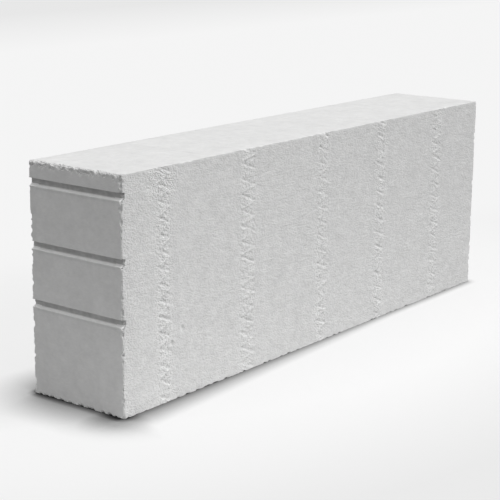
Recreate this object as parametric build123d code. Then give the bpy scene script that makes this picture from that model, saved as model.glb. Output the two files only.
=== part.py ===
from build123d import *
import os

# Aerated concrete wall block: one cast piece, cut to size with straight sharp faces.
# Millimetres, +Z up. The origin is the middle of the lower bed face.
# +X runs along the length, away from the grooved end. The thickness lies along Y.

BLOCK_LENGTH = 600.0
BLOCK_THICKNESS = 110.0
BLOCK_HEIGHT = 215.0

# Keying grooves, level and straight across the end at -X. The roof is nearly level and the sill slopes out.
GROOVE_DEPTH = 3.0
GROOVE_MOUTH = 7.2          # height of the groove in the end face
ROOF_FALL = 0.4             # how far the roof drops on its way in to the groove's back
SILL_RISE = 2.3             # how far the sill climbs on its way in
TOP_GROOVE_DROP = 19.2      # upper bed face down to the middle of the top groove's mouth
UPPER_GROOVE_PITCH = 57.0   # top groove down to the middle groove
LOWER_GROOVE_PITCH = 53.5   # middle groove down to the bottom groove

# How far a groove's outline runs out past the end face, so that its mouth is cut clean open.
MOUTH_OVERRUN = 1.0


def groove_heights():
    """Heights of the three groove middles above the lower bed, from the top one down."""
    top = BLOCK_HEIGHT - TOP_GROOVE_DROP
    middle = top - UPPER_GROOVE_PITCH
    bottom = middle - LOWER_GROOVE_PITCH
    return top, middle, bottom


def groove_outline(height):
    """One groove seen from the side: an upright back, a roof over it and a sill that slopes out to the end face."""
    end_face = -BLOCK_LENGTH / 2
    outside = end_face - MOUTH_OVERRUN
    back = end_face + GROOVE_DEPTH
    upper_lip = height + GROOVE_MOUTH / 2
    lower_lip = height - GROOVE_MOUTH / 2
    return Polygon(
        (outside, lower_lip),
        (end_face, lower_lip),
        (back, lower_lip + SILL_RISE),
        (back, upper_lip - ROOF_FALL),
        (end_face, upper_lip),
        (outside, upper_lip),
        align=None,
    )


def aerated_block():
    """The block's side outline with its grooves, drawn out through the thickness."""
    outline = Rectangle(BLOCK_LENGTH, BLOCK_HEIGHT, align=(Align.CENTER, Align.MIN))
    for height in groove_heights():
        outline -= groove_outline(height)
    return extrude(Plane.XZ * outline, amount=BLOCK_THICKNESS / 2, both=True)


os.makedirs("parts", exist_ok=True)
export_step(aerated_block(), "parts/aerated_block.step")
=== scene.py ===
import math
import random

import bmesh
import bpy
from mathutils import Matrix, Vector, noise


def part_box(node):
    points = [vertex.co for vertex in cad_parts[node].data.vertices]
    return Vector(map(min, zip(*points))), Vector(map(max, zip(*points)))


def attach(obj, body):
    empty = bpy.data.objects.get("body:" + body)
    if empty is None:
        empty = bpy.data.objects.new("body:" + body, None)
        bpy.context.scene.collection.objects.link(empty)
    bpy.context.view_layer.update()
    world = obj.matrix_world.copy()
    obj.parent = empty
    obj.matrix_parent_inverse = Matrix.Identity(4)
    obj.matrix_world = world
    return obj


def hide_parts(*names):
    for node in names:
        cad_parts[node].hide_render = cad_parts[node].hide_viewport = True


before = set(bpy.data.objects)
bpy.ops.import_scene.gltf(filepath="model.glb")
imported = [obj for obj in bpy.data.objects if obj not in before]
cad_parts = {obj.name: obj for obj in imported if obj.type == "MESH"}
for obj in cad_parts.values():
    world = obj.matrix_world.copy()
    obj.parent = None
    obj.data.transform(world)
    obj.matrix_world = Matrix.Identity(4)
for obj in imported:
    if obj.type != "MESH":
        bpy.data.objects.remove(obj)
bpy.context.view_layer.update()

# The block: one piece of aerated concrete, cast as a large cake and cut by taut wires while still soft.
# It is a pale grey mineral foam. The wires leave rough long faces with a zigzag line at each of their knots,
# the beds and ends are smooth, and the arrises crumble a little in handling.
MM = 0.001
block_low, block_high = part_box("aerated_block")
block_size = block_high - block_low
grooved_end = block_low.x
front_face = block_low.y
on_face = 0.01 * MM             # a point this close to a face lies on it

groove_drops = (19.2, 76.2, 129.7)      # mm from the upper bed down to the middle of each groove
groove_middles = [block_high.z - drop * MM for drop in groove_drops]
groove_depth = 3.0 * MM
groove_half_mouth = 3.6 * MM
roof_fall = 0.4 * MM            # the roof is nearly level, the sill slopes out
sill_rise = 2.3 * MM
groove_reach = 15.0 * MM        # the mesh columns behind the end face close up over this length
lip_margin = 1.2 * MM           # the end face is cut once more this far above and below a groove's mouth
lip_slack = 0.1 * MM

knot_places = (54.0, 172.5, 293.5, 399.5, 512.5)    # mm from the grooved end to each knot's line
knot_lines = [grooved_end + place * MM for place in knot_places]
knot_strengths = (1.1, 0.9, 0.82, 0.92, 0.8)
knot_half_width = 11.5 * MM     # the mesh is finer this far from a knot's line
crumbs_half_width = 14.0 * MM   # and loose crumbs are torn out this far from it
stroke_reaches = (7.5, 11.5, 8.5, 7.5, 9.0)         # mm that each line's strokes reach to either side
first_strokes = (17.0, 16.0, 15.8, 16.6, 24.2)      # mm from the upper bed down to its first stroke
stroke_pitch = 14.8             # mm that the wire sinks in one full stroke, there and back
stroke_slope = 0.4              # how far it sinks for the way that it moves along
stroke_there = 1.9              # the way there leaves a furrow
stroke_back = -1.5              # and the way back a ridge
ripple_pitch = 5.9              # mm from one torn ridge to the next
torn_patch = (knot_lines[0] - 3.0 * MM, block_high.z - 12.0 * MM)   # where the wire came in
torn_patch_radius = 24.0 * MM
torn_patch_strength = 1.9
open_bubbles = ((78.0, 64.5), (63.5, 54.0))         # larger cut bubbles: mm from the grooved end, and up
bubble_radius = 2.3 * MM
bubble_margin = 1.2             # the mesh is finer this many radii past a bubble's rim
bubble_painted_shade = 0.6              # a bubble's hollow gets painted shade like a stroke of this strength

# Depths of the wire-cut relief in millimetres, the first of them from the box to the middle of the relief
sawn_level = 0.4
streak_depth = 0.12
swell_depth = 0.1
stroke_depth = 0.29
crumb_depth = 0.28
bubble_depth = 1.3

mesh_pitch = 5.0 * MM           # plain cells, along and across
level_pitch = 3.6 * MM          # and upwards
arris_strip = 4.8 * MM          # the mesh is finer this close to an arris

block_mesh = bmesh.new()
bmesh.ops.create_cube(block_mesh, size=1.0)
bmesh.ops.scale(block_mesh, vec=block_size, verts=block_mesh.verts)
bmesh.ops.translate(block_mesh, vec=(block_low + block_high) / 2, verts=block_mesh.verts)


def cut_across(axis, places, reach=block_high.x):
    """Cuts the mesh by planes square to an axis, as far along the block as the reach."""
    normal = Vector.Fill(3, 0.0)
    normal[axis] = 1.0
    for place in places:
        faces = [face for face in block_mesh.faces if face.calc_center_median().x <= reach]
        edges = {edge for face in faces for edge in face.edges}
        corners = {vertex for face in faces for vertex in face.verts}
        bmesh.ops.bisect_plane(block_mesh, geom=[*corners, *edges, *faces],
                               plane_co=normal * place, plane_no=normal)


def divide_along(axis, pitch):
    """Divides every edge that runs along an axis into steps of about the pitch."""
    slack = 0.01
    by_cuts = {}
    for edge in block_mesh.edges:
        run = abs(edge.verts[1].co[axis] - edge.verts[0].co[axis])
        cuts = math.ceil(run / pitch - slack) - 1
        if cuts > 0:
            by_cuts.setdefault(cuts, []).append(edge)
    for cuts, edges in by_cuts.items():
        bmesh.ops.subdivide_edges(block_mesh, edges=edges, cuts=cuts, use_grid_fill=True)


def refine(wanted, axis=None):
    """Halves the cells whose middle is wanted, both ways or only along one axis."""
    mostly = 0.9
    edges = set()
    for face in block_mesh.faces:
        if wanted(face.calc_center_median()):
            for edge in face.edges:
                run = edge.verts[1].co - edge.verts[0].co
                if axis is None or abs(run[axis]) > mostly * run.length:
                    edges.add(edge)
    bmesh.ops.subdivide_edges(block_mesh, edges=list(edges), cuts=1,
                              use_grid_fill=True, use_single_edge=True)


def on_long_face(point):
    return min(point.y - block_low.y, block_high.y - point.y) < on_face


def near_knot_line(point):
    return on_long_face(point) and min(abs(point.x - line) for line in knot_lines) < knot_half_width


def near_front_knot_line(point):
    return point.y < front_face + on_face and near_knot_line(point)


def bubble_hollow(x, z):
    """How far a point of a long face is inside one of the larger cut bubbles: 1 in its middle."""
    off = min(math.hypot(x - grooved_end - place * MM, z - block_low.z - up * MM)
              for place, up in open_bubbles)
    return 1.0 - off / bubble_radius


def near_bubble(point):
    return on_long_face(point) and bubble_hollow(point.x, point.z) > -bubble_margin


def arris_distance(point):
    """How far a point on the surface is from the nearest arris."""
    off = sorted(min(point[i] - block_low[i], block_high[i] - point[i]) for i in range(3))
    return off[1]


def at_plain_arris(point):
    return arris_distance(point) < arris_strip and not near_knot_line(point)


def at_grooved_end(point):
    return point.x < grooved_end + arris_strip and arris_distance(point) < arris_strip


def at_level_end_arris(point):
    return at_grooved_end(point) and min(point.z - block_low.z, block_high.z - point.z) < arris_strip


def at_upright_end_arris(point):
    return at_grooved_end(point) and min(point.y - block_low.y, block_high.y - point.y) < arris_strip


def at_groove(point):
    on_end = point.x < grooved_end + on_face
    off_groove = min(abs(point.z - middle) for middle in groove_middles)
    return on_end and off_groove < groove_half_mouth + lip_margin


lips = []
lip_sides = []
for middle in groove_middles:
    upper = middle + groove_half_mouth
    lower = middle - groove_half_mouth
    lips += [upper, lower]
    lip_sides += [upper + lip_margin, upper - roof_fall]
    lip_sides += [lower + sill_rise, lower + sill_rise / 2, lower - lip_margin]
cut_across(0, [line + side * knot_half_width for line in knot_lines for side in (-1, 1)])
cut_across(0, [grooved_end + arris_strip, grooved_end + groove_reach, block_high.x - arris_strip])
cut_across(1, [block_low.y + arris_strip, block_high.y - arris_strip])
cut_across(2, [block_low.z + arris_strip, block_high.z - arris_strip] + lips)
for axis, pitch in ((0, mesh_pitch), (1, mesh_pitch), (2, level_pitch)):
    divide_along(axis, pitch)
cut_across(2, lip_sides, grooved_end + groove_reach)
refine(near_knot_line)
refine(near_front_knot_line)
refine(near_bubble)
refine(near_bubble)
refine(at_plain_arris)
refine(at_grooved_end)
refine(at_level_end_arris, 1)
refine(at_upright_end_arris, 2)
refine(at_groove, 1)
refine(at_groove, 1)


def stroke_profile(off):
    """A stroke in section, by the millimetres under its line: a furrow over a ridge of torn crumbs."""
    furrow_half_width, ridge_half_width = 1.1, 1.4
    ridge_share, ridge_drop = 0.7, 2.4
    furrow = math.exp(-(off / furrow_half_width) ** 2)
    ridge = math.exp(-((off - ridge_drop) / ridge_half_width) ** 2)
    return furrow - ridge_share * ridge


def knot_marks(along, drop, reach, seed):
    """How far one knot's zigzag tears the face in or out, about nought.

    A point is given by its millimetres beside the knot's line and below the first stroke. What a place is
    divided by for a noise is the millimetres from one swell to the next.
    """
    slope_back = stroke_slope - stroke_pitch / (2.0 * reach)
    marks = 0.0
    ways = ((stroke_slope, stroke_there, 0.0), (slope_back, stroke_back, 0.5 * stroke_pitch))
    for slope, share, start in ways:
        across = drop - start - slope * along
        across += 0.9 * noise.noise((along / 8.0, drop / 9.0, seed + start))
        stroke = round(across / stroke_pitch)
        vigour = max(0.1, 0.9 + 1.1 * noise.noise((along / 5.0, 3.17 * stroke, seed + 1.3 * start)))
        marks += share * vigour * stroke_profile(across - stroke * stroke_pitch)
        wander = 0.5 * noise.noise((along / 10.0, across / 9.0, seed + 1.7 * start))
        marks += 0.25 * math.cos(2.0 * math.pi * (across / ripple_pitch + wander))
        marks += 0.45 * noise.noise((along / 5.0, across / 2.3, seed + 2.1 * start))
    return marks


def faded(value, full, gone):
    """One up to the full place, nought from the gone place on."""
    return min(1.0, max(0.0, (gone - value) / (gone - full)))


def wire_marks(x, z, seed):
    """A wire-cut face: its millimetres inside the box, and its shares of strokes, tears and crumbs."""
    along, up = x / MM, z / MM
    streak = noise.noise((along / 6.5, seed, up / 3.4))
    swell = noise.noise((along / 26.0, seed + 7.3, up / 17.0))
    depth = sawn_level + streak_depth * streak + swell_depth * swell

    index, line = min(enumerate(knot_lines), key=lambda knot: abs(x - knot[1]))
    beside = x - line
    reach = stroke_reaches[index]
    drop = (block_high.z - z) / MM - first_strokes[index]
    strokes = faded(abs(beside) / MM, full=0.7 * reach, gone=1.2 * reach) * knot_strengths[index]
    strokes *= knot_marks(beside / MM, drop, reach, seed + 19.3 * index)
    depth += stroke_depth * strokes

    torn = faded(abs(beside), full=0.4 * knot_half_width, gone=crumbs_half_width) * knot_strengths[index]
    patch_off = math.hypot(x - torn_patch[0], z - torn_patch[1]) / torn_patch_radius
    torn = max(torn, torn_patch_strength * (1.0 - patch_off ** 2))
    off_end = x - grooved_end
    end_crumbs = 0.5 * faded(off_end, full=0.0, gone=40.0 * MM)
    near_foot = faded(z - block_low.z, full=2.0 * MM, gone=16.0 * MM)
    foot_crumbs = 0.9 * (near_foot * faded(off_end, full=30.0 * MM, gone=160.0 * MM))
    crumbs = max(torn, end_crumbs, foot_crumbs)
    depth += crumb_depth * crumbs * noise.noise((along / 3.6, seed + 3.1, up / 2.6))

    hollow = max(0.0, bubble_hollow(x, z))
    depth += bubble_depth * math.sqrt(hollow)
    # Painted shade darkens the bubble's hollow through the strokes' tint
    strokes += bubble_painted_shade * hollow
    return max(0.0, depth), strokes, torn, crumbs


def smooth_marks(a, b, seed):
    """A smooth face: its millimetres inside the box."""
    level, unevenness, swell = 0.22, 0.08, 9.0
    return level + unevenness * noise.noise((a / MM / swell, b / MM / swell, seed))


class Arris:
    """One of the twelve edges, worn a little all along, with what handling broke out of it."""

    def __init__(self, along, sides, wear, lean, seed):
        self.along = along
        self.sides = sides
        self.wear = wear
        self.lean = lean
        self.seed = seed
        self.draw = random.Random(seed)
        self.edge = Vector((0.0, 0.0, 0.0))
        self.ways = []
        for axis, side in sides:
            self.edge[axis] = (block_low, block_high)[side][axis]
            way = Vector((0.0, 0.0, 0.0))
            way[axis] = 1.0 if side == 0 else -1.0
            self.ways.append(way)
        self.inward = (self.ways[0] + self.ways[1]).normalized()
        self.facets = []
        self.bites = []

    def anywhere(self):
        return block_low[self.along] + block_size[self.along] * self.draw.random()

    def split_off(self, per_metre, deepest):
        """Splits off flakes along the edge, each of which leaves a slanting facet."""
        for _ in range(round(per_metre * block_size[self.along])):
            deep = deepest * (0.3 + 0.7 * self.draw.random() ** 1.5)
            place = self.anywhere()
            half_length = deep * (0.5 + 0.8 * self.draw.random())
            self.facets.append((place, half_length, deep))

    def bite(self, place, deep, radius, down=0.0):
        """Breaks out a round bite at a place along the edge, or down the second face from it."""
        middle = self.edge - self.inward * (radius - deep) + self.ways[1] * down
        middle[self.along] = place
        self.bites.append((middle, radius))

    def bite_anywhere(self, per_metre, deepest):
        for _ in range(round(per_metre * block_size[self.along])):
            deep = deepest * (0.2 + 0.8 * self.draw.random() ** 2)
            place = self.anywhere()
            self.bite(place, deep, deep * (1.1 + 1.4 * self.draw.random()))

    def lost(self, point, off_a, off_b):
        """The way that a point of the mesh goes in."""
        place = point[self.along]
        wide = self.wear
        for middle, half_length, deep in self.facets:
            reach = (place - middle) / half_length
            if abs(reach) < 1.0:
                wide = max(wide, deep * math.sqrt(1.0 - reach * reach))
        grain = noise.noise((place / MM / 1.3, self.seed, (off_a - off_b) / MM / 1.3))
        short = max(0.0, wide * (1.0 + 0.6 * grain) - off_a / self.lean - off_b) / 2
        way_in = self.ways[0] * (short * self.lean) + self.ways[1] * short
        for middle, radius in self.bites:
            if abs(place - middle[self.along]) < radius:
                off = point - middle
                if off.length_squared < radius * radius:
                    ahead = off.dot(self.inward)
                    deep = math.sqrt(ahead * ahead + radius * radius - off.length_squared) - ahead
                    if deep > way_in.length:
                        way_in = self.inward * deep
        return way_in


# An arris is known by the two faces that meet there, each an axis and its low side (0) or high side (1)
end_top = ((0, 0), (2, 1))
end_foot = ((0, 0), (2, 0))
near_upright = ((0, 0), (1, 0))
far_upright = ((0, 0), (1, 1))
front_foot = ((1, 0), (2, 0))
plain_end_upright = ((0, 1), (1, 0))

# What handling did to each: its wear in millimetres, the bites per metre and the deepest in millimetres
handling = {
    end_top: (0.9, 0, 0.0),
    end_foot: (0.6, 300, 2.4),
    near_upright: (0.5, 300, 2.1),
    far_upright: (0.2, 230, 2.0),
    front_foot: (0.15, 150, 1.2),
    plain_end_upright: (0.2, 170, 1.6),
}
light_handling = (0.3, 50, 1.4)
end_top_lean = 1.6              # the end's top arris has lost more of the bed than of the end
first_seed, seed_step = 100, 10

arrises = {}
for along in range(3):
    across = [axis for axis in range(3) if axis != along]
    for first in (0, 1):
        for second in (0, 1):
            sides = ((across[0], first), (across[1], second))
            wear, bites_per_metre, deepest = handling.get(sides, light_handling)
            lean = end_top_lean if sides == end_top else 1.0
            arris = Arris(along, sides, wear * MM, lean, first_seed + seed_step * len(arrises))
            arris.bite_anywhere(bites_per_metre, deepest * MM)
            arrises[sides] = arris

# Flakes split off the end's top arris, with pits in the strip of the end under it
arris = arrises[end_top]
arris.split_off(per_metre=600, deepest=3.2 * MM)
for _ in range(34):
    place = arris.anywhere()
    arris.bite(place, deep=1.6 * MM, radius=1.4 * MM, down=(1.8 + 2.6 * arris.draw.random()) * MM)

# The near upright arris is broken at the roof and sill of every groove, near its top and at its foot
arris = arrises[near_upright]
for middle in groove_middles:
    arris.bite(middle + 2.6 * MM, deep=1.7 * MM, radius=2.6 * MM)
    arris.bite(middle - 3.4 * MM, deep=1.9 * MM, radius=2.8 * MM)
for _ in range(11):
    deep = (1.2 + 1.6 * arris.draw.random()) * MM
    drop = (1.0 + 29.0 * arris.draw.random()) * MM
    arris.bite(block_high.z - drop, deep, 1.4 * deep, down=1.5 * arris.draw.uniform(-1.0, 1.0) * MM)
arris.bite(block_low.z, deep=2.6 * MM, radius=5.0 * MM)


def groove_shift(point):
    """How far the grooves draw a point in along +X."""
    off_end = point.x - grooved_end
    if off_end >= groove_reach:
        return 0.0
    for middle in groove_middles:
        under_roof = (middle + groove_half_mouth - point.z) / roof_fall
        over_sill = (point.z - middle + groove_half_mouth) / sill_rise
        share = min(1.0, under_roof, math.sqrt(max(0.0, over_sill)))
        if share > 0.0:
            return groove_depth * share * (1.0 - off_end / groove_reach)
    return 0.0


def painted_groove_light(point):
    """Painted shade on a groove's back and on the face under its lip, and painted highlight on its lip and
    sill: positive darkens, negative lightens.
    """
    lip_highlight, sill_highlight = -0.6, -1.4
    shade_under_lip, shade_on_back, shade_unevenness = 0.5, 1.0, 0.6
    for middle in groove_middles:
        over_lip = point.z - middle + groove_half_mouth
        if abs(over_lip) < lip_slack:
            return lip_highlight
        if abs(over_lip + lip_margin) < lip_slack:
            return shade_under_lip
        if 0.0 < over_lip < sill_rise - lip_slack:
            return sill_highlight
        if 0.0 < over_lip < 2.0 * groove_half_mouth - lip_slack:
            patch = noise.noise((point.y / MM / 4.0, 6.3, point.z / MM / 3.0))
            return shade_on_back + shade_unevenness * patch
    return 0.0


crumb_size = 0.9 * MM           # of the broken surface along the arrises
crumb_height = 0.35 * MM
fully_broken = 0.5 * MM         # a loss this deep shows only broken material
arris_reach = 1.6 * arris_strip     # what breaks out of an arris ends within this
long_face_seeds = (11.0, 51.0)
end_seeds = (3.0, 4.0)
upper_bed_seed = 6.0            # the lower bed stays flat on the floor
sharp_from = math.radians(40)

sawn_layer = block_mesh.verts.layers.float.new("sawn")
strokes_layer = block_mesh.verts.layers.float.new("strokes")
torn_layer = block_mesh.verts.layers.float.new("torn")
crumbs_layer = block_mesh.verts.layers.float.new("crumbs")
bed_layer = block_mesh.verts.layers.float.new("bed")
broken_layer = block_mesh.verts.layers.float.new("broken")
# Painted shade and painted highlight of the grooves, as shares
groove_shade_layer = block_mesh.verts.layers.float.new("groove_shade")
for vertex in block_mesh.verts:
    point = vertex.co.copy()
    inside = [(point[i] - block_low[i], block_high[i] - point[i]) for i in range(3)]
    push = Vector((0.0, 0.0, 0.0))
    strokes, torn, crumbs = 0.0, 0.0, 0.0
    for axis in range(3):
        for side in (0, 1):
            if inside[axis][side] > on_face:
                continue
            inward = 1.0 if side == 0 else -1.0
            if axis == 1:
                depth, strokes, torn, crumbs = wire_marks(point.x, point.z, long_face_seeds[side])
                push.y += inward * depth * MM
            elif axis == 0:
                push.x += inward * smooth_marks(point.y, point.z, end_seeds[side]) * MM
            elif side == 1:
                push.z += inward * smooth_marks(point.x, point.y, upper_bed_seed) * MM
    broken = 0.0
    for arris in arrises.values():
        (axis_a, side_a), (axis_b, side_b) = arris.sides
        off_a, off_b = inside[axis_a][side_a], inside[axis_b][side_b]
        if max(off_a, off_b) > arris_reach:
            continue
        lost = arris.lost(point, off_a, off_b)
        if lost.length > 0.0:
            rough = 0.5 + 0.5 * noise.noise(point / crumb_size)
            push += lost + lost.normalized() * min(lost.length, crumb_height) * rough
            broken = max(broken, min(1.0, lost.length / fully_broken))
    push.x += groove_shift(point)
    vertex[sawn_layer] = 1.0 if on_long_face(point) else 0.0
    vertex[strokes_layer] = strokes
    vertex[torn_layer] = torn
    vertex[crumbs_layer] = crumbs
    vertex[bed_layer] = 1.0 if min(inside[2]) < on_face else 0.0
    vertex[broken_layer] = broken
    vertex[groove_shade_layer] = painted_groove_light(point) if inside[0][0] < on_face else 0.0
    vertex.co = point + push

for face in block_mesh.faces:
    face.smooth = True
block_data = bpy.data.meshes.new("cut_block")
block_mesh.to_mesh(block_data)
block_mesh.free()
block_data.set_sharp_from_angle(angle=sharp_from)
cut_block = bpy.data.objects.new("cut_block", block_data)
bpy.context.scene.collection.objects.link(cut_block)


def stretched(tree, scale, shift=(0.0, 0.0, 0.0)):
    """Object coordinates stretched for a pattern, in cells per metre along each axis, and then shifted."""
    place = tree.nodes.new("ShaderNodeTexCoord")
    mapping = tree.nodes.new("ShaderNodeMapping")
    mapping.inputs["Scale"].default_value = scale
    mapping.inputs["Location"].default_value = shift
    tree.links.new(place.outputs["Object"], mapping.inputs["Vector"])
    return mapping.outputs["Vector"]


def place_parts(tree):
    """The X, Y and Z of a place on a piece, in metres."""
    parts = tree.nodes.new("ShaderNodeSeparateXYZ")
    tree.links.new(stretched(tree, (1.0, 1.0, 1.0)), parts.inputs["Vector"])
    return parts.outputs


def ranged(tree, value, low, high, to_low, to_high, interpolation="LINEAR"):
    """A value carried over from one range to another, and held at its ends."""
    span = tree.nodes.new("ShaderNodeMapRange")
    span.interpolation_type = interpolation
    for socket, number in zip(("From Min", "From Max", "To Min", "To Max"), (low, high, to_low, to_high)):
        span.inputs[socket].default_value = number
    tree.links.new(value, span.inputs["Value"])
    return span.outputs["Result"]


def reckon(tree, operation, *values):
    """One step of arithmetic between values or sockets."""
    step = tree.nodes.new("ShaderNodeMath")
    step.operation = operation
    for socket, value in zip(step.inputs, values):
        if isinstance(value, (int, float)):
            socket.default_value = value
        else:
            tree.links.new(value, socket)
    return step.outputs["Value"]


def summed(tree, total, shares):
    """A total to which each pattern adds its share."""
    for pattern, share in shares:
        total = reckon(tree, "MULTIPLY_ADD", pattern, share, total)
    return total


def vertex_value(tree, name):
    reader = tree.nodes.new("ShaderNodeAttribute")
    reader.attribute_name = name
    return reader.outputs["Fac"]


def centred_noise(tree, scale, detail, roughness=0.55):
    """A noise pattern about nought, mostly between -1 and 1, in cells per metre."""
    pattern = tree.nodes.new("ShaderNodeTexNoise")
    pattern.inputs["Scale"].default_value = 1.0
    pattern.inputs["Detail"].default_value = detail
    pattern.inputs["Roughness"].default_value = roughness
    tree.links.new(stretched(tree, scale), pattern.inputs["Vector"])
    return ranged(tree, pattern.outputs["Fac"], 0.25, 0.75, -1.0, 1.0)


def open_pores(tree, cells_per_metre):
    """The cut bubbles of the foam, each a different size: 1 in a pore, nought beside it."""
    cells = tree.nodes.new("ShaderNodeTexVoronoi")
    cells.inputs["Scale"].default_value = 1.0
    tree.links.new(stretched(tree, (cells_per_metre,) * 3), cells.inputs["Vector"])
    chance = tree.nodes.new("ShaderNodeSeparateColor")
    tree.links.new(cells.outputs["Color"], chance.inputs["Color"])
    largest = 0.26
    beyond = reckon(tree, "MULTIPLY_ADD", chance.outputs["Red"], -largest, cells.outputs["Distance"])
    return ranged(tree, beyond, -0.08, 0.02, 1.0, 0.0)


def drag_line(tree, off_end):
    """A faint line where a wire dragged across a bed, so far from the grooved end: 1 in its middle."""
    off = reckon(tree, "ABSOLUTE", reckon(tree, "SUBTRACT", place_parts(tree)["X"], grooved_end + off_end))
    return ranged(tree, off, 0.3 * MM, 2.4 * MM, 1.0, 0.0, "SMOOTHSTEP")


concrete_grey = (0.69, 0.69, 0.687)
drag_places = (120.0, 222.0, 331.0)     # mm from the grooved end to each drag line of the beds

concrete = bpy.data.materials.new("aerated_concrete")
concrete.use_nodes = True
tree = concrete.node_tree
shader = tree.nodes["Principled BSDF"]
shader.inputs["Roughness"].default_value = 0.92
shader.inputs["Specular IOR Level"].default_value = 0.2

sawn = vertex_value(tree, "sawn")
strokes = vertex_value(tree, "strokes")
torn = vertex_value(tree, "torn")
broken = vertex_value(tree, "broken")
groove_shade = vertex_value(tree, "groove_shade")
rough_share = ranged(tree, reckon(tree, "MAXIMUM", sawn, broken), 0.0, 1.0, 0.2, 0.86)
crumb_share = reckon(tree, "MULTIPLY_ADD", vertex_value(tree, "crumbs"), 1.6, 0.8)
crumb_share = reckon(tree, "MULTIPLY", rough_share, crumb_share)

streaks = centred_noise(tree, (165.0, 300.0, 400.0), 2.0, 0.6)
streaks = reckon(tree, "MULTIPLY", streaks, rough_share)
grain = centred_noise(tree, (520.0, 520.0, 800.0), 2.0)
grain = reckon(tree, "MULTIPLY", grain, crumb_share)
pores = reckon(tree, "MULTIPLY", open_pores(tree, 420.0), rough_share)
mottle = centred_noise(tree, (45.0, 45.0, 45.0), 3.0)
# Random blotches of painted light and shade that stand in for a shallow relief, stronger on the long faces
blotches = centred_noise(tree, (75.0, 75.0, 105.0), 2.0, 0.9)
blotch_strength = reckon(tree, "MULTIPLY_ADD", sawn, 0.02, 0.06)
smears = centred_noise(tree, (40.0, 90.0, 16.0), 3.0)
drag_lines = 0.0
for place in drag_places:
    drag_lines = reckon(tree, "MAXIMUM", drag_lines, drag_line(tree, place * MM))
drag_lines = reckon(tree, "MULTIPLY", drag_lines, vertex_value(tree, "bed"))
drag_lines = reckon(tree, "MULTIPLY", drag_lines, ranged(tree, mottle, -0.3, 0.6, 0.0, 1.0))

tint = summed(tree, 1.0, (
    (mottle, 0.018),
    (smears, 0.014),
    (blotches, blotch_strength),
    (drag_lines, -0.085),
    (streaks, 0.02),
    (grain, 0.03),
    # Painted shade inside the open pores
    (pores, -0.05),
    # Painted shade in the furrows of the strokes and in the bubbles, painted light on their ridges
    (strokes, -0.075),
    # Painted light on the torn bands, which offsets the shade of their rough relief
    (torn, 0.11),
    (broken, 0.1),
    # Painted shade in the grooves and under their lips, painted highlight on their lips and sills
    (groove_shade, -0.23),
))
colour = tree.nodes.new("ShaderNodeCombineColor")
for channel, albedo in zip(("Red", "Green", "Blue"), concrete_grey):
    tree.links.new(reckon(tree, "MULTIPLY", tint, albedo), colour.inputs[channel])
tree.links.new(colour.outputs["Color"], shader.inputs["Base Color"])

bump = tree.nodes.new("ShaderNodeBump")
bump.inputs["Strength"].default_value = 1.0
bump.inputs["Distance"].default_value = 0.25 * MM
height = summed(tree, 0.0, ((streaks, 0.72), (grain, 0.8), (pores, -0.8)))
tree.links.new(height, bump.inputs["Height"])
tree.links.new(bump.outputs["Normal"], shader.inputs["Normal"])
block_data.materials.append(concrete)
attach(cut_block, "root")
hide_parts("aerated_block")

# The floor: a plain pale studio floor that runs out of sight, painted so that it is seen near white.
# Light that bounces off it finds it darker, most of all away from the block. A painted shadow darkens it
# close round the block's foot, deepest on the two sides that the lamp doesn't reach; a painted pool of light
# makes it palest near the block.
floor_half = 12.0
shade_fades = 120.0 * MM        # from the grooved end to this X the painted shade grows fainter
broad_reach_at_end, broad_reach_faded = 34.0 * MM, 12.0 * MM
broad_depth_at_end, broad_depth_faded = 2.1, 0.85
tight_reach = 9.0 * MM
floor_middle_light, floor_back_light = 0.95, 0.84
floor_front_light = 0.86
lit_colour_share = 0.28         # the floor's seen tone as a paint under the lamp and sky
own_glow_share = 0.645          # and as a glow of its own
far_bounce, near_bounce = 0.2, 0.735

floor_mesh = bmesh.new()
bmesh.ops.create_grid(floor_mesh, x_segments=1, y_segments=1, size=floor_half)
floor_data = bpy.data.meshes.new("studio_floor")
floor_mesh.to_mesh(floor_data)
floor_mesh.free()
studio_floor = bpy.data.objects.new("studio_floor", floor_data)
bpy.context.scene.collection.objects.link(studio_floor)


def seen_directly(tree):
    """One for what the camera sees, straight, in a mirror or through glass, and nought for bounced light."""
    path = tree.nodes.new("ShaderNodeLightPath")
    seen = reckon(tree, "MAXIMUM", path.outputs["Is Camera Ray"], path.outputs["Is Glossy Ray"])
    return reckon(tree, "MAXIMUM", seen, path.outputs["Is Transmission Ray"])


def round_pool(tree, length, width, middle=(0.0, 0.0)):
    """A round pool on the floor: 1 in its middle, falling evenly to nought at its rim."""
    pool = tree.nodes.new("ShaderNodeTexGradient")
    pool.gradient_type = "SPHERICAL"
    shift = (-middle[0] / length, -middle[1] / width, 0.0)
    tree.links.new(stretched(tree, (1.0 / length, 1.0 / width, 1.0), shift), pool.inputs["Vector"])
    return pool.outputs["Fac"]


floor_paint = bpy.data.materials.new("studio_floor")
floor_paint.use_nodes = True
tree = floor_paint.node_tree
floor_shader = tree.nodes["Principled BSDF"]
floor_shader.inputs["Roughness"].default_value = 1.0
floor_shader.inputs["Specular IOR Level"].default_value = 0.0
floor_place = place_parts(tree)

before_end = ranged(tree, floor_place["X"], grooved_end - 12.0 * MM, grooved_end + 6.0 * MM, 1.0, 0.0)
behind_block = ranged(tree, floor_place["Y"], block_high.y - 5.0 * MM, block_high.y + 5.0 * MM, 0.0, 1.0)
unlit_side = reckon(tree, "MAXIMUM", before_end, behind_block)


def unlit_or_lit(tree, unlit, lit):
    """One value for the floor on the block's unlit sides and another beside the lit long face."""
    return ranged(tree, unlit_side, 0.0, 1.0, lit, unlit)


# The painted shadow is deeper round the two corners of the grooved end
near_corner = round_pool(tree, 35.0 * MM, 35.0 * MM, (grooved_end - 16.0 * MM, front_face - 5.0 * MM))
far_corner = round_pool(tree, 70.0 * MM, 70.0 * MM, (grooved_end, block_high.y))
corner_shadow_gain = summed(tree, 1.0, ((near_corner, 1.9), (far_corner, 0.38)))

# A painted contact shadow: two occlusion reaches, raised to powers, multiply the floor's seen tone
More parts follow.
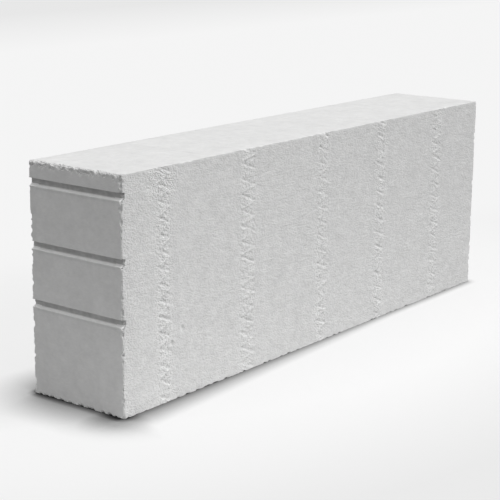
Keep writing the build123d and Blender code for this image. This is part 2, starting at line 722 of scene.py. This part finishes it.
broad_shadow = tree.nodes.new("ShaderNodeAmbientOcclusion")
broad_reach = ranged(tree, floor_place["X"], grooved_end, shade_fades,
                     broad_reach_at_end, broad_reach_faded)
broad_reach = reckon(tree, "ADD", broad_reach, unlit_or_lit(tree, 28.0 * MM, 0.0))
tree.links.new(broad_reach, broad_shadow.inputs["Distance"])
broad_depth = ranged(tree, floor_place["X"], grooved_end, shade_fades,
                     broad_depth_at_end, broad_depth_faded)
broad_depth = reckon(tree, "ADD", broad_depth, unlit_or_lit(tree, -0.4, 0.0))
broad_depth = reckon(tree, "MULTIPLY", broad_depth, corner_shadow_gain)
broad_tone = reckon(tree, "POWER", broad_shadow.outputs["AO"], broad_depth)

tight_shadow = tree.nodes.new("ShaderNodeAmbientOcclusion")
tight_shadow.inputs["Distance"].default_value = tight_reach
tight_depth = reckon(tree, "MULTIPLY", unlit_or_lit(tree, 3.2, 0.45), corner_shadow_gain)
tight_tone = reckon(tree, "POWER", tight_shadow.outputs["AO"], tight_depth)
contact_tone = reckon(tree, "MULTIPLY", broad_tone, tight_tone)

# A painted pool of light: the floor is palest near the block and darker towards the front and far back
lit_share = ranged(tree, round_pool(tree, 0.62, 0.36), 0.0, 0.5, 0.0, 1.0)
front_light = ranged(tree, floor_place["Y"], -0.25, 0.15, floor_front_light, floor_middle_light)
back_light = ranged(tree, floor_place["Y"], 2.3, 3.4, floor_middle_light, floor_back_light)
outer_light = reckon(tree, "MINIMUM", front_light, back_light)
lit_gain = reckon(tree, "SUBTRACT", 1.0, outer_light)
floor_light = reckon(tree, "MULTIPLY_ADD", lit_share, lit_gain, outer_light)
seen_tone = reckon(tree, "MULTIPLY", floor_light, contact_tone)
bounce_tone = ranged(tree, round_pool(tree, 1.1, 0.6, (-0.23, 0.0)), 0.0, 1.0, far_bounce, near_bounce)

seen = seen_directly(tree)
floor_tone = tree.nodes.new("ShaderNodeMix")
tree.links.new(seen, floor_tone.inputs["Factor"])
tree.links.new(bounce_tone, floor_tone.inputs["A"])
tree.links.new(reckon(tree, "MULTIPLY", seen_tone, lit_colour_share), floor_tone.inputs["B"])
tree.links.new(floor_tone.outputs["Result"], floor_shader.inputs["Base Color"])
floor_shader.inputs["Emission Color"].default_value = (1.0, 1.0, 1.0, 1.0)
# The floor's own glow carries the painted shadow and the painted pool of light as well
own_glow = reckon(tree, "MULTIPLY", reckon(tree, "MULTIPLY", seen_tone, seen), own_glow_share)
tree.links.new(own_glow, floor_shader.inputs["Emission Strength"])
floor_data.materials.append(floor_paint)

# The light: a broad soft glow from overhead, which leaves the shaded end half dark, and a low soft lamp
# in front on the right for the long face.
lamp_direction = Vector((0.62, -0.66, 0.42))
glow_rim, glow_full = 0.35, 0.9         # how far up the sky the glow starts and is full, as sines
sky_at_rim, sky_overhead = 0.04, 1.42
sky_seen = 0.9

lamp_data = bpy.data.lights.new("front_lamp", "SUN")
lamp_data.energy = 1.92
lamp_data.angle = math.radians(25.0)
front_lamp = bpy.data.objects.new("front_lamp", lamp_data)
front_lamp.matrix_world = lamp_direction.to_track_quat("Z", "Y").to_matrix().to_4x4()
bpy.context.scene.collection.objects.link(front_lamp)

sky = bpy.data.worlds.new("studio_sky")
sky.use_nodes = True
tree = sky.node_tree
sky_shader = tree.nodes["Background"]
sky_shader.inputs["Color"].default_value = (1.0, 1.0, 1.0, 1.0)
looking = tree.nodes.new("ShaderNodeTexCoord")
heading = tree.nodes.new("ShaderNodeVectorMath")
heading.operation = "DOT_PRODUCT"
tree.links.new(looking.outputs["Generated"], heading.inputs[0])
heading.inputs[1].default_value = (0.0, 0.0, 1.0)
overhead = ranged(tree, heading.outputs["Value"], glow_rim, glow_full,
                  sky_at_rim, sky_overhead, "SMOOTHSTEP")
sky_strength = tree.nodes.new("ShaderNodeMix")
tree.links.new(seen_directly(tree), sky_strength.inputs["Factor"])
tree.links.new(overhead, sky_strength.inputs["A"])
sky_strength.inputs["B"].default_value = sky_seen
tree.links.new(sky_strength.outputs["Result"], sky_shader.inputs["Strength"])
bpy.context.scene.world = sky

# The camera: a long lens a little above the block, off the corner between the grooved end and one long face.
# It stands free, looks slightly down and is turned a little about its own line of sight.
camera_place = (-1.1393, -0.8430, 0.4333)
camera_heading = math.radians(-52.170)
camera_tilt = math.radians(90.0 - 13.791)
camera_roll = math.radians(0.477)

camera_data = bpy.data.cameras.new("camera")
camera_data.sensor_width = 36.0
camera_data.lens = 101.41
camera_data.clip_end = 100.0
camera = bpy.data.objects.new("camera", camera_data)
camera.matrix_world = (Matrix.Translation(camera_place)
                       @ Matrix.Rotation(camera_heading, 4, "Z")
                       @ Matrix.Rotation(camera_tilt, 4, "X")
                       @ Matrix.Rotation(camera_roll, 4, "Z"))
bpy.context.scene.collection.objects.link(camera)
bpy.context.scene.camera = camera
bpy.context.scene.view_settings.view_transform = "Standard"
